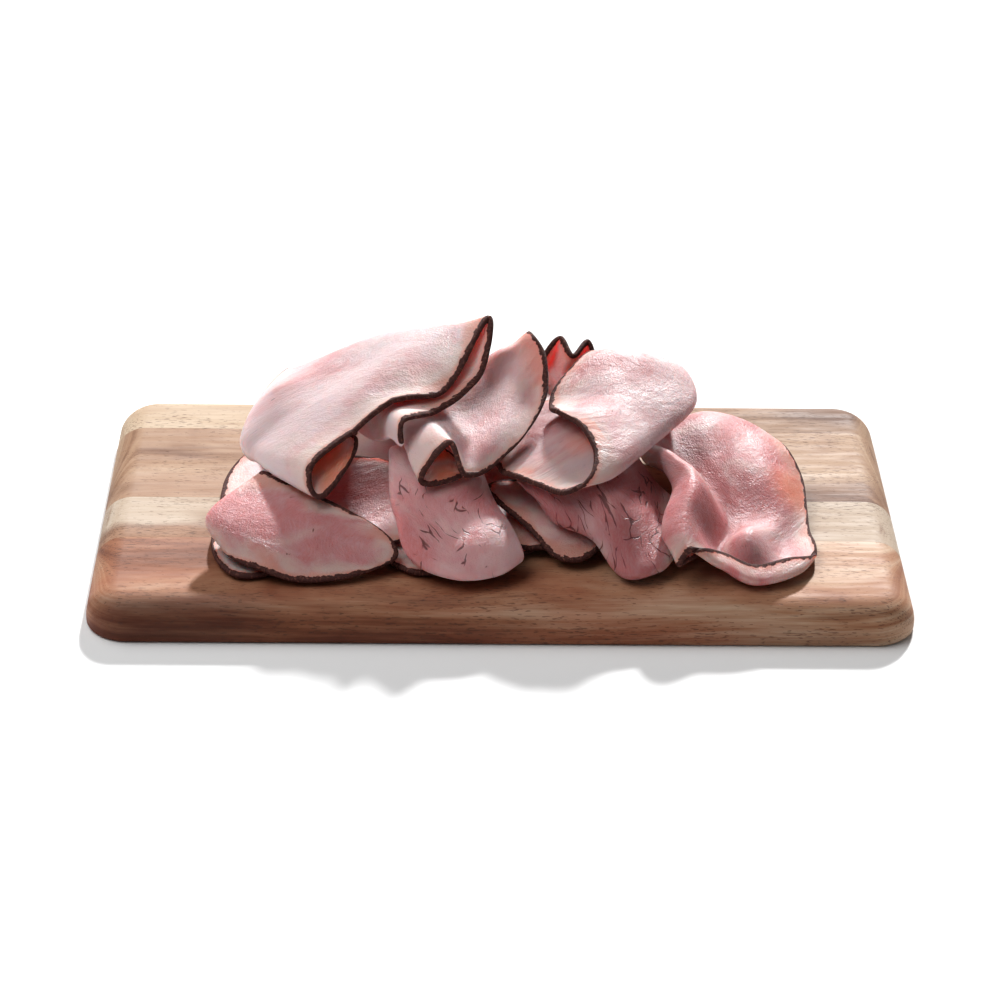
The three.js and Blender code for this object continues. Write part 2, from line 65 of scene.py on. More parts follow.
# ---------------------------------------------------------------- ham: laying order and nets
# Each slice's tone scales all its colours: partly the slice's own paleness, partly painted light that
# lightens slices which catch little of the lamps and darkens those in a glare.
SLICES = [
    {"name": "ham_base", "squareness": 3, "rind": [1, 1, 1, 1],
     "cracks": 0.2, "pink": 0.5, "tone": 1,
     "net": [
         [[-58, -52, 17], [-38, -62, 17], [-20, -60, 17], [4, -55, 17], [30, -48, 17]],
         [[-60, -25, 17], [-40, -25, 17], [-20, -25, 17], [6, -25, 17], [38, -22, 17]],
         [[-60, 12, 17], [-40, 14, 17], [-20, 14, 17], [6, 14, 17], [42, 12, 17]],
         [[-58, 44, 18], [-40, 50, 18], [-20, 52, 18], [6, 50, 18], [38, 44, 18]],
         [[-56, 50, 24], [-40, 57, 27], [-20, 59, 28], [6, 57, 27], [36, 50, 25]],
         [[-54, 40, 34], [-40, 44, 39], [-20, 46, 41], [5, 45, 38], [34, 40, 33]],
         [[-52, 26, 40], [-40, 27, 46], [-20, 28, 49], [4, 28, 43], [33, 26, 36]],
         [[-50, 6, 36], [-40, 6, 40], [-20, 6, 42], [4, 6, 38], [32, 8, 33]],
     ]},
    {"name": "ham_left_low", "squareness": 4, "rind": [1, 1, 1, 1],
     "cracks": 0.1, "pink": 0.3, "tone": 1,
     "net": [
         [[-115, -50, 20], [-97, -64, 17], [-78, -58, 17], [-64, -48, 17]],
         [[-108, -24, 17], [-93, -26, 17], [-78, -22, 17], [-64, -20, 17]],
         [[-106, 8, 17], [-92, 12, 17], [-78, 12, 17], [-66, 12, 17]],
         [[-99, 27, 18], [-89, 38, 18], [-78, 42, 18], [-68, 36, 18]],
         [[-90, 26, 24], [-86, 38, 28], [-78, 42, 30], [-68, 36, 28]],
         [[-86, 10, 27], [-82, 12, 33], [-76, 12, 34], [-68, 12, 32]],
     ]},
    {"name": "ham_mid_low", "squareness": 5, "rind": [1, 1, 1, 1],
     "cracks": 0.3, "pink": 0.6, "tone": 1,
     "net": [
         [[8, -48, 17], [20, -46, 17], [36, -42, 17], [39, -45, 22], [31, -54, 19], [19, -57, 17]],
         [[2, -42, 17], [20, -40, 17], [41, -36, 17], [42, -38, 22], [25, -44, 23], [11, -43, 22]],
         [[-6, -32, 19], [14, -26, 18], [41, -20, 18], [41, -22, 23], [21, -27, 25], [-1, -30, 27]],
         [[-12, -16, 22], [8, -8, 20], [35, -2, 19], [35, -5, 24], [15, -10, 27], [-14, -15, 33]],
     ]},
    {"name": "ham_left_front", "squareness": 4.5, "rind": [1, 1, 1, 1],
     "cracks": 0.45, "pink": 0.65, "tone": 1.02,
     "net": [
         [[-42, -60, 18], [-57, -66, 17], [-78, -67, 17], [-96, -60, 19], [-102, -51, 20], [-95, -48, 18],
          [-66, -50, 18], [-30, -50, 18]],
         [[-38, -54, 22], [-58, -52, 25], [-79, -50, 27], [-100, -48, 28], [-108, -42, 30], [-98, -34, 26],
          [-68, -28, 25], [-30, -26, 25]],
         [[-44, -45, 29], [-61, -35, 32], [-79, -26, 35], [-86, -22, 36], [-89, -17, 35], [-83, -11, 32],
          [-64, -4, 36], [-30, -3, 38]],
     ]},
    {"name": "ham_mid_front", "squareness": 4, "rind": [0, 0, 1, 0],
     "cracks": 0.9, "pink": 0.6, "tone": 1.2,
     "net": [
         [[-20, -24, 18], [-18, -24, 18], [-15, -25, 18], [-12, -26, 18], [-9, -27, 18]],
         [[-25, -44, 19], [-21, -50, 18], [-14, -52, 17], [-7, -51, 17], [-2, -46, 18]],
         [[-32, -52, 20], [-28, -60, 17], [-15, -65, 17], [-3, -62, 17], [4, -55, 18]],
         [[-37, -53, 24], [-33, -61, 22], [-17, -68, 21], [-1, -65, 21], [8, -57, 22]],
         [[-37, -46, 29], [-37, -50, 30], [-20, -54, 28], [-3, -53, 28], [4, -46, 26]],
         [[-35, -31, 30], [-40, -36, 35], [-22, -37, 35], [-8, -36, 33], [-3, -30, 30]],
         [[-35, -6, 38], [-41, -10, 43], [-24, -12, 43], [-12, -12, 41], [-8, -6, 36]],
     ]},
    {"name": "ham_right_mid", "squareness": 4, "rind": [0, 1, 1, 0],
     "cracks": 1.1, "pink": 0.75, "tone": 0.9,
     "net": [
         [[24, -6, 24], [30, -10, 24], [37, -12, 22], [44, -12, 20], [48, -14, 19], [52, -16, 19]],
         [[19, -24, 22], [26, -30, 21], [36, -37, 18], [45, -46, 17], [51, -45, 17], [55, -41, 17]],
         [[15, -31, 21], [21, -42, 18], [33, -48, 17], [45, -61, 17], [56, -57, 17], [61, -50, 17]],
         [[12, -32, 25], [19, -43, 22], [33, -50, 22], [47, -64, 21], [59, -60, 21], [64, -52, 21]],
         [[7, -26, 28], [16, -35, 27], [33, -42, 27], [47, -53, 27], [61, -48, 25], [67, -41, 23]],
         [[5, -17, 31], [14, -25, 32], [32, -30, 33], [47, -35, 32], [62, -33, 27], [71, -31, 23]],
         [[4, -4, 33], [14, -8, 36], [32, -10, 40], [46, -8, 40], [55, -12, 33], [72, -20, 24]],
     ]},
    {"name": "ham_right_end", "squareness": 4.5, "rind": [1, 1, 1, 1],
     "cracks": 0.35, "pink": 0.75, "tone": 1,
     "net": [
         [[76, -61, 17], [66, -65, 18], [70, -62, 25], [80, -57, 25], [93, -61, 22], [107, -54, 22],
          [120, -47, 20]],
         [[75, -54, 17], [62, -57, 19], [68, -60, 24], [80, -63, 23], [93, -68, 19], [110, -60, 19],
          [119, -42, 19]],
         [[73, -46, 17], [60, -51, 20], [68, -54, 25], [80, -57, 20], [92, -61, 17], [107, -53, 17],
          [118, -36, 18]],
         [[74, -36, 17], [61, -43, 22], [69, -46, 27], [80, -47, 18], [91, -48, 27], [104, -41, 18],
          [117, -27, 17]],
         [[76, -22, 20], [65, -26, 27], [74, -29, 33], [84, -30, 22], [94, -30, 22], [106, -24, 23],
          [117, -14, 19]],
         [[68, -4, 26], [58, -8, 31], [62, -13, 36], [72, -8, 29], [84, -4, 33], [101, -4, 32],
          [117, 2, 22]],
         [[64, 16, 27], [54, 8, 31], [56, 6, 37], [66, 15, 36], [80, 24, 38], [97, 24, 34], [114, 14, 27]],
         [[62, 34, 17], [52, 32, 19], [56, 38, 23], [68, 44, 24], [82, 46, 24], [98, 42, 22],
          [112, 30, 18]],
     ]},
    {"name": "ham_back_ruffle", "squareness": 5, "rind": [1, 1, 1, 1],
     "cracks": 0.1, "pink": 0.2, "tone": 1.1,
     "net": [
         [[6, -4, 40], [14, -6, 41], [22, -5, 41], [30, -6, 41], [40, -6, 41]],
         [[8, 8, 42], [14, 8, 43], [22, 8, 43], [30, 8, 43], [38, 8, 43]],
         [[11, 28, 44], [16, 29, 44], [23, 27, 44], [29, 29, 43], [37, 28, 42]],
         [[14, 42, 46], [20, 46, 47], [25, 40, 47], [31, 45, 47], [38, 41, 45]],
         [[17, 44, 56], [24, 49, 60], [29, 41, 56], [35, 48, 59], [39, 43, 54]],
     ]},
    {"name": "ham_right_top", "squareness": 4.5, "rind": [1, 1, 1, 1],
     "cracks": 0.35, "pink": 0.35, "tone": 0.9,
     "net": [
         [[26, -16, 57], [31, -23, 54], [34, -30, 50], [32, -39, 46], [22, -46, 42], [10, -40, 43]],
         [[19, -9, 55], [34, -16, 55], [43, -29, 50], [41, -37, 45], [24, -36, 43], [4, -33, 42]],
         [[18, -2, 54], [42, 0, 56], [57, -8, 51], [56, -14, 46], [38, -18, 49], [-1, -26, 41]],
         [[20, 9, 57], [42, 18, 60], [69, 9, 55], [71, 5, 51], [46, 2, 49], [-3, -10, 44]],
         [[29, 25, 60], [42, 31, 62], [66, 28, 59], [72, 22, 53], [54, 17, 50], [5, 8, 48]],
         [[35, 37, 59], [48, 41, 55], [64, 37, 52], [68, 32, 46], [54, 27, 45], [38, 26, 46]],
         [[44, 40, 54], [50, 50, 45], [62, 47, 44], [66, 42, 39], [56, 36, 40], [46, 32, 42]],
     ]},
    {"name": "ham_mid_top", "squareness": 7, "rind": [1, 1, 1, 1],
     "cracks": 0.2, "pink": 0.2, "tone": 1.15,
     "net": [
         [[-3, -33, 38], [-29, -38, 41], [-19, -31, 54], [-14, -37, 44], [-3, -29, 41], [6, -20, 45],
          [12, -12, 50]],
         [[-17, -22, 43], [-34, -26, 47], [-25, -20, 53], [-13, -23, 48], [-1, -16, 50], [9, -8, 53],
          [16, -3, 56]],
         [[-37, -2, 46], [-36, -8, 48], [-29, -6, 51], [-14, -6, 53], [2, -3, 57], [12, 4, 59],
          [18, 5, 61]],
         [[-28, 10, 50], [-24, 8, 53], [-16, 9, 57], [-6, 10, 62], [5, 15, 65], [12, 16, 68], [17, 16, 69]],
         [[-20, 20, 54], [-14, 21, 58], [-7, 21, 62], [-1, 20, 67], [5, 22, 69], [10, 25, 72],
          [12, 25, 73]],
         [[-19, 38, 46], [-14, 40, 47], [-8, 40, 50], [-2, 40, 53], [4, 38, 57], [9, 36, 61], [12, 33, 66]],
         [[-21, 52, 38], [-16, 56, 39], [-10, 57, 40], [-4, 56, 42], [2, 53, 46], [8, 48, 52],
          [12, 42, 59]],
     ]},
    {"name": "ham_left_top", "squareness": 7, "rind": [0, 1, 1, 1],
     "cracks": 0.15, "pink": 0.1, "tone": 1.3,
     "net": [
         [[-32, -38, 45], [-36, -24, 52], [-24, -11, 52], [-7, 3, 60], [-4, 20, 79], [-20, -3, 58],
          [-42, -11, 57], [-69, -30, 46], [-65, -39, 36], [-46, -18, 49]],
         [[-47, -8, 42], [-48, 4, 52], [-38, 14, 59], [-28, 25, 68], [-25, 27, 74], [-35, 11, 69],
          [-58, -5, 58], [-84, -18, 43], [-79, -27, 38], [-58, -9, 48]],
         [[-66, 14, 42], [-66, 22, 49], [-60, 29, 54], [-52, 34, 60], [-49, 31, 67], [-57, 16, 62],
          [-75, 1, 53], [-92, -8, 41], [-89, -14, 38], [-74, 0, 44]],
         [[-80, 18, 37], [-82, 26, 42], [-82, 32, 46], [-80, 34, 51], [-77, 28, 55], [-84, 17, 53],
          [-93, 8, 46], [-98, -2, 39], [-93, -5, 34], [-84, 8, 35]],
         [[-76, 22, 36], [-75, 30, 39], [-75, 37, 42], [-76, 42, 45], [-81, 42, 48], [-88, 36, 45],
          [-95, 24, 39], [-97, 12, 34], [-90, 12, 30], [-82, 16, 32]],
     ]},
]


# ---------------------------------------------------------------- node helpers
class Nodes:
    """Short calls for a material's node tree."""

    def __init__(self, name):
        self.material = bpy.data.materials.new(name)
        self.material.use_nodes = True
        self.tree = self.material.node_tree
        self.shader = self.tree.nodes["Principled BSDF"]

    def add(self, kind, **values):
        node = self.tree.nodes.new(kind)
        for key, value in values.items():
            setattr(node, key, value)
        return node

    def link(self, source, target):
        self.tree.links.new(source, target)

    def put(self, socket, value):
        if hasattr(value, "is_output"):
            self.link(value, socket)
        else:
            socket.default_value = value

    def math(self, operation, a, b=0.0):
        node = self.add("ShaderNodeMath", operation=operation)
        self.put(node.inputs[0], a)
        self.put(node.inputs[1], b)
        return node.outputs[0]

    def vector(self, operation, a, b=(0, 0, 0)):
        node = self.add("ShaderNodeVectorMath", operation=operation)
        self.put(node.inputs[0], a)
        self.put(node.inputs[1], b)
        return node.outputs[0]

    def scaled(self, where, scale):
        return self.vector("MULTIPLY", where, scale)

    def noise(self, where, scale, detail=3.0, roughness=0.55):
        node = self.add("ShaderNodeTexNoise")
        self.link(where, node.inputs["Vector"])
        node.inputs["Scale"].default_value = scale
        node.inputs["Detail"].default_value = detail
        node.inputs["Roughness"].default_value = roughness
        return node

    def cells(self, where, scale, feature="DISTANCE_TO_EDGE"):
        node = self.add("ShaderNodeTexVoronoi", feature=feature)
        self.link(where, node.inputs["Vector"])
        node.inputs["Scale"].default_value = scale
        return node.outputs["Distance"]

    def between(self, value, low, high, out_low=0.0, out_high=1.0, smooth=True):
        node = self.add("ShaderNodeMapRange")
        node.interpolation_type = "SMOOTHSTEP" if smooth else "LINEAR"
        self.put(node.inputs["Value"], value)
        limits = {"From Min": low, "From Max": high, "To Min": out_low, "To Max": out_high}
        for name, number in limits.items():
            self.put(node.inputs[name], number)
        return node.outputs["Result"]

    def mix(self, factor, a, b, blend="MIX"):
        node = self.add("ShaderNodeMix", data_type="RGBA", blend_type=blend)
        self.put(node.inputs["Factor"], factor)
        self.put(node.inputs["A"], a)
        self.put(node.inputs["B"], b)
        return node.outputs["Result"]

    def ramp(self, value, stops):
        node = self.add("ShaderNodeValToRGB")
        elements = node.color_ramp.elements
        while len(elements) < len(stops):
            elements.new(0.5)
        for element, (place, colour) in zip(elements, stops):
            element.position = place
            element.color = (*colour, 1)
        self.link(value, node.inputs["Fac"])
        return node.outputs["Color"]

    def bump(self, height, distance, strength):
        node = self.add("ShaderNodeBump")
        node.inputs["Strength"].default_value = strength
        node.inputs["Distance"].default_value = distance
        self.link(height, node.inputs["Height"])
        return node.outputs["Normal"]

    def tinted(self, factor, colour, tint):
        """The colour multiplied by a tint where the factor is 1."""
        return self.mix(factor, colour, self.mix(1.0, colour, rgb(tint), "MULTIPLY"))


def rgb(colour):
    return (*colour, 1.0)


# ---------------------------------------------------------------- wood
def wood_material(name, stops, streaks, seed, pith, figure, lean, dark_core=None, smudge=None):
    """Solid oiled acacia: growth rings about a far-off pith, long streaks and short dark pores.

    streaks is the streaks' fineness, figure how far the rings sway, and lean how the tone drifts along x.
    """
    n = Nodes(name)
    place = n.add("ShaderNodeTexCoord").outputs["Object"]
    moved = n.vector("ADD", place, (seed * 0.37, seed * 0.11, seed * 0.23))
    sway = n.noise(n.scaled(moved, (5.0, 9.0, 9.0)), 1.0, 2.0, 0.5)
    swayed = n.vector("ADD", place, n.scaled(sway.outputs["Color"], (0.0, figure, figure)))
    split = n.add("ShaderNodeSeparateXYZ")
    n.link(swayed, split.inputs[0])
    dy = n.math("SUBTRACT", split.outputs["Y"], pith[0])
    dz = n.math("SUBTRACT", split.outputs["Z"], pith[1])
    radius = n.math("SQRT", n.math("ADD", n.math("MULTIPLY", dy, dy), n.math("MULTIPLY", dz, dz)))
    ring_place = n.add("ShaderNodeCombineXYZ")
    n.link(n.math("MULTIPLY", split.outputs["X"], 0.045), ring_place.inputs["X"])
    n.link(n.math("ADD", radius, seed), ring_place.inputs["Y"])
    broad = n.noise(ring_place.outputs[0], streaks, 4.0, 0.6)
    fine = n.noise(ring_place.outputs[0], streaks * 6.0, 3.0, 0.65)
    tone = n.math("ADD", n.math("MULTIPLY", broad.outputs["Fac"], 0.72),
                  n.math("MULTIPLY", fine.outputs["Fac"], 0.28))
    tone = n.math("ADD", tone, n.math("MULTIPLY", split.outputs["X"], lean))
    colour = n.ramp(tone, stops)
    line_place = n.add("ShaderNodeCombineXYZ")
    n.link(n.math("MULTIPLY", split.outputs["X"], 0.02), line_place.inputs["X"])
    n.link(n.math("ADD", radius, seed * 2), line_place.inputs["Y"])
    lines = n.noise(line_place.outputs[0], 520.0, 2.0, 0.6)
    lines = n.between(lines.outputs["Fac"], 0.56, 0.70)
    fade = n.between(n.noise(n.scaled(moved, (9.0, 60.0, 60.0)), 1.0, 2.0).outputs["Fac"], 0.42, 0.62)
    colour = n.tinted(n.math("MULTIPLY", n.math("MULTIPLY", lines, fade), 0.75), colour, (0.50, 0.36, 0.28))
    # darker core around one centre line: heartwood, and on the front stave also painted shade on its front
    # face and on the top in front of the ham
    if dark_core:
        smoke = n.noise(n.scaled(moved, (9.0, 36.0, 36.0)), 1.0, 4.0, 0.6)
        hy = n.math("SUBTRACT", split.outputs["Y"], dark_core["y"])
        hy = n.math("ADD", hy, n.math("MULTIPLY", split.outputs["X"], dark_core["drift"]))
        hz = n.math("SUBTRACT", split.outputs["Z"], dark_core["z"])
        away = n.math("SQRT", n.math("ADD", n.math("MULTIPLY", hy, hy), n.math("MULTIPLY", hz, hz)))
        ragged = dark_core["outer"] * 0.35
        away = n.math("ADD", away, n.between(smoke.outputs["Fac"], 0.25, 0.75, -ragged, ragged, smooth=False))
        dark = n.between(away, dark_core["inner"], dark_core["outer"], dark_core["strength"], 0.0)
        colour = n.tinted(dark, colour, dark_core["tint"])
        patch = n.math("MULTIPLY", dark, n.between(smoke.outputs["Fac"], 0.48, 0.60))
        colour = n.tinted(n.math("MULTIPLY", patch, 0.7), colour, (0.46, 0.38, 0.36))
    if smudge:
        ragged_place = n.vector("ADD", place, n.scaled(sway.outputs["Color"], (0.0, 0.012, 0.012)))
        offset = n.scaled(n.vector("SUBTRACT", ragged_place, smudge["centre"]), smudge["closeness"])
        reach = n.add("ShaderNodeVectorMath", operation="LENGTH")
        n.link(offset, reach.inputs[0])
        smoky = n.between(reach.outputs["Value"], 0.35, 1.1, 0.85, 0.0)
        colour = n.tinted(smoky, colour, (0.42, 0.34, 0.33))
    # pores: short dark dashes along the grain
    pore = n.noise(n.scaled(moved, (300.0, 2000.0, 2000.0)), 1.0, 1.0, 0.5)
    patches = n.noise(n.scaled(moved, (16.0, 70.0, 70.0)), 1.0, 2.0, 0.5)
    limit = n.between(patches.outputs["Fac"], 0.35, 0.65, 0.69, 0.59)
    pores = n.between(n.math("SUBTRACT", pore.outputs["Fac"], limit), 0.0, 0.045)
    colour = n.mix(n.math("MULTIPLY", pores, 0.60), colour, rgb((0.07, 0.026, 0.014)))
    fibre = n.noise(n.scaled(moved, (50.0, 2200.0, 2200.0)), 1.0, 2.0, 0.6)
    colour = n.tinted(n.between(fibre.outputs["Fac"], 0.3, 0.7, 0.0, 0.35), colour, (0.66, 0.55, 0.48))
    n.link(colour, n.shader.inputs["Base Color"])
    gloss = n.noise(n.scaled(moved, (30.0, 300.0, 300.0)), 1.0, 3.0, 0.6)
    n.link(n.between(gloss.outputs["Fac"], 0.3, 0.7, 0.58, 0.74), n.shader.inputs["Roughness"])
    n.shader.inputs["Specular IOR Level"].default_value = 0.28
    height = n.math("SUBTRACT", n.math("MULTIPLY", fibre.outputs["Fac"], 0.35), pores)
    n.link(n.bump(height, 0.00015, 0.6), n.shader.inputs["Normal"])
    return n.material


# Colour stops run from the dark streaks to the pale wood between them.
FRONT_STOPS = [(0.36, (0.15, 0.046, 0.020)), (0.45, (0.27, 0.102, 0.049)), (0.53, (0.40, 0.202, 0.112)),
               (0.64, (0.56, 0.39, 0.27))]
PALE_STOPS = [(0.32, (0.24, 0.14, 0.085)), (0.42, (0.37, 0.26, 0.18)), (0.52, (0.48, 0.38, 0.29)),
              (0.66, (0.55, 0.475, 0.385))]
BROWN_STOPS = [(0.35, (0.18, 0.083, 0.045)), (0.43, (0.32, 0.183, 0.108)), (0.51, (0.42, 0.272, 0.172)),
               (0.63, (0.53, 0.380, 0.265))]
TAN_STOPS = [(0.34, (0.18, 0.088, 0.047)), (0.43, (0.33, 0.200, 0.120)), (0.51, (0.46, 0.325, 0.215)),
             (0.64, (0.58, 0.46, 0.335))]
# A darker core about a line along the stave (heartwood, and on the front stave painted shade as well): its y
# and z at mid length, the radii where it is full and where it ends, its strength and tint, and its drift
# towards the front for each metre along x.
# Painted shade: the front core lies at the board's front foot, so it darkens and reddens the front face and
# the top just in front of the ham.
FRONT_HEART_AND_SHADE = {"y": -0.086, "z": -0.004, "inner": 0.018, "outer": 0.044, "strength": 0.92,
               "tint": (0.78, 0.48, 0.4), "drift": 0.1}
PALE_HEART = {"y": -0.048, "z": 0.0215, "inner": 0.018, "outer": 0.03, "strength": 0.95,
              "tint": (0.66, 0.44, 0.33), "drift": 0.08}
BROWN_HEART = {"y": 0.01, "z": 0.02, "inner": 0.004, "outer": 0.018, "strength": 0.65,
               "tint": (0.62, 0.47, 0.4), "drift": 0}
# A smoky smudge on the front roundover: its centre, and one over its reach along each axis.
FRONT_SMUDGE = {"centre": (-0.118, -0.073, 0.015), "closeness": (22, 85, 85)}
GLUE_LINES = [-32.0, -2.0, 53.0]
# Each stave lies between two glue lines, given by their places in the list; None is the board's own edge.
STAVES = [
    {"name": "stave_front", "node": "board_stave_1", "slot": "wood_front", "front": None, "back": 0,
     "wood": {"stops": FRONT_STOPS, "streaks": 95.0, "seed": 1, "pith": (-0.07, -0.1), "figure": 0.02,
              "lean": 0.35, "dark_core": FRONT_HEART_AND_SHADE, "smudge": FRONT_SMUDGE}},
    {"name": "stave_pale", "node": "board_stave_2", "slot": "wood_pale", "front": 0, "back": 1,
     "wood": {"stops": PALE_STOPS, "streaks": 60.0, "seed": 2.3, "pith": (-0.01, 0.16), "figure": 0.012,
              "lean": -0.1, "dark_core": PALE_HEART}},
    {"name": "stave_brown", "node": "board_stave_3", "slot": "wood_brown", "front": 1, "back": 2,
     "wood": {"stops": BROWN_STOPS, "streaks": 110.0, "seed": 3.7, "pith": (0.06, -0.15), "figure": 0.009,
              "lean": -0.35, "dark_core": BROWN_HEART}},
    {"name": "stave_tan", "node": "board_stave_4", "slot": "wood_tan", "front": 2, "back": None,
     "wood": {"stops": TAN_STOPS, "streaks": 70.0, "seed": 5.4, "pith": (0.1, 0.2), "figure": 0.01,
              "lean": -0.42}},
]
CORNER_STEPS, FOOT_STEPS, TOP_STEPS = 18, 6, 18
SHARPEST_INNER_CORNER = 3.0
SHARP_ANGLE = math.radians(40)


def outline(inset, z):
    """One ring of points round the board, inset from its plan, at a height."""
    half_length = LENGTH / 2 - inset
    half_depth = DEPTH / 2 - inset
    radius = max(CORNER - inset, SHARPEST_INNER_CORNER)
    points = []
    centres = [(1, 1), (-1, 1), (-1, -1), (1, -1)]
    for quarter, (sx, sy) in enumerate(centres):
        cx = sx * (half_length - radius)
        cy = sy * (half_depth - radius)
        for step in range(CORNER_STEPS + 1):
            angle = (quarter + step / CORNER_STEPS) * math.pi / 2
            points.append((cx + radius * math.cos(angle), cy + radius * math.sin(angle), z))
    return points


def board_mesh():
    rings = []
    for step in range(FOOT_STEPS + 1):
        angle = step / FOOT_STEPS * math.pi / 2
        rings.append(outline(FOOT_ROUND * (1 - math.sin(angle)), FOOT_ROUND * (1 - math.cos(angle))))
    for step in range(TOP_STEPS + 1):
        angle = step / TOP_STEPS * math.pi / 2
        height = THICK - TOP_ROUND * (1 - math.sin(angle))
        rings.append(outline(TOP_ROUND * (1 - math.cos(angle)), height))
    mesh = bmesh.new()
    rows = [[mesh.verts.new([c * MM for c in point]) for point in ring] for ring in rings]
    for low, high in zip(rows, rows[1:]):
        for k in range(len(low)):
            j = (k + 1) % len(low)
            mesh.faces.new((low[k], low[j], high[j], high[k]))
    mesh.faces.new(list(reversed(rows[0])))
    mesh.faces.new(rows[-1])
    return mesh


def add_object(name, data, material):
    piece = bpy.data.objects.new(name, data)
    scene.collection.objects.link(piece)
    data.materials.append(material)
    return piece


def make_stave(name, node, slot, front, back, wood):
    """The board cut down to one stave, in the place of its CAD node."""
    mesh = board_mesh()
    for line, sign in ((front, -1), (back, 1)):
        if line is None:
            continue
        y = (GLUE_LINES[line] - sign * SEAM) * MM
        everything = mesh.verts[:] + mesh.edges[:] + mesh.faces[:]
        cut = bmesh.ops.bisect_plane(mesh, geom=everything, plane_co=(0, y, 0), plane_no=(0, sign, 0),
                                     clear_outer=True)
        edges = [e for e in cut["geom_cut"] if isinstance(e, bmesh.types.BMEdge)]
        bmesh.ops.holes_fill(mesh, edges=edges)
    bmesh.ops.recalc_face_normals(mesh, faces=mesh.faces)
    data = bpy.data.meshes.new(name)
    mesh.to_mesh(data)
    mesh.free()
    data.shade_smooth()
    data.set_sharp_from_angle(angle=SHARP_ANGLE)
    piece = add_object(name, data, wood_material(name, **wood))
    weighted = piece.modifiers.new("weighted", "WEIGHTED_NORMAL")
    weighted.keep_sharp = True
    weighted.weight = 100
    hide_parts(node)
    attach(piece, "board")


for stave in STAVES:
    make_stave(**stave)


# ---------------------------------------------------------------- slice surfaces
def spline(points, place):
    """Catmull-Rom through points (n, ...) at places in [0, n - 1]; points are (n, m, 3) or (n, 3)."""
    last = len(points) - 1
    ends = [2 * points[:1] - points[1:2], points, 2 * points[-1:] - points[-2:-1]]
    full = np.concatenate(ends)
    span = np.clip(np.floor(place).astype(int), 0, last - 1)
    f = place - span
    weights = [0.5 * (-f + 2 * f * f - f ** 3), 0.5 * (2 - 5 * f * f + 3 * f ** 3),
               0.5 * (f + 4 * f * f - 3 * f ** 3), 0.5 * (-f * f + f ** 3)]
    if full.ndim == 2:
        return sum(w[:, None] * full[span + k] for k, w in enumerate(weights))
    lane = np.arange(len(place))
    return sum(w[:, None] * full[span + k, lane] for k, w in enumerate(weights))


def middle_surface(slice_, a, b):
    """Points of the slice's middle surface; a and b are grids in [-1, 1]."""
    net = np.array(slice_["net"], float)
    spans_along, spans_across = net.shape[0] - 1, net.shape[1] - 1
    high = np.maximum(abs(a), abs(b))
    low = np.minimum(abs(a), abs(b))
    ratio = np.where(high > 0, low / np.maximum(high, 1e-12), 0)
    power = slice_["squareness"]
    shrink = 1 / (1 + ratio ** power) ** (1 / power)
    u = ((a * shrink + 1) / 2 * spans_across).ravel()
    v = ((b * shrink + 1) / 2 * spans_along).ravel()
    rails = np.stack([spline(row, u) for row in net])
    return spline(rails, v).reshape(*a.shape, 3)


def surface_normals(grid):
    n = np.cross(np.gradient(grid, axis=1), np.gradient(grid, axis=0))
    return n / np.maximum(np.linalg.norm(n, axis=2, keepdims=True), 1e-12)


def plain_solid(grid):
    """The slice's two skins and rim, as the CAD solid has them."""
    n = surface_normals(grid) * SLICE_THICKNESS / 2
    rows, columns = grid.shape[:2]
    size = rows * columns
    verts = np.concatenate([(grid + n).reshape(-1, 3), (grid - n).reshape(-1, 3)])
    a = (np.arange(rows - 1)[:, None] * columns + np.arange(columns - 1)).ravel()
    b, c, d = a + 1, a + columns + 1, a + columns
    faces = [np.stack(t, 1) for t in ((a, b, c), (a, c, d), (size + a, size + c, size + b),
                                      (size + a, size + d, size + c))]
    rim = rim_order(rows, columns)
    e, f = rim, np.roll(rim, -1)
    faces += [np.stack(t, 1) for t in ((f, e, size + e), (f, size + e, size + f))]
    return verts, np.concatenate(faces)


def rim_order(rows, columns):
    return np.array(list(range(columns - 1)) + [j * columns + columns - 1 for j in range(rows - 1)]
                    + [(rows - 1) * columns + i for i in range(columns - 1, 0, -1)]
                    + [j * columns for j in range(rows - 1, 0, -1)])


# Height map in square cells, as the CAD model uses to lay each slice on those before it.
CELL, MAP_LEFT, MAP_FRONT, MAP_COLUMNS, MAP_ROWS = 2.0, -130.0, -80.0, 130, 80
SPREAD, LAY_ROUNDS, SETTLED, EMPTY = 3, 8, 0.02, 1e9


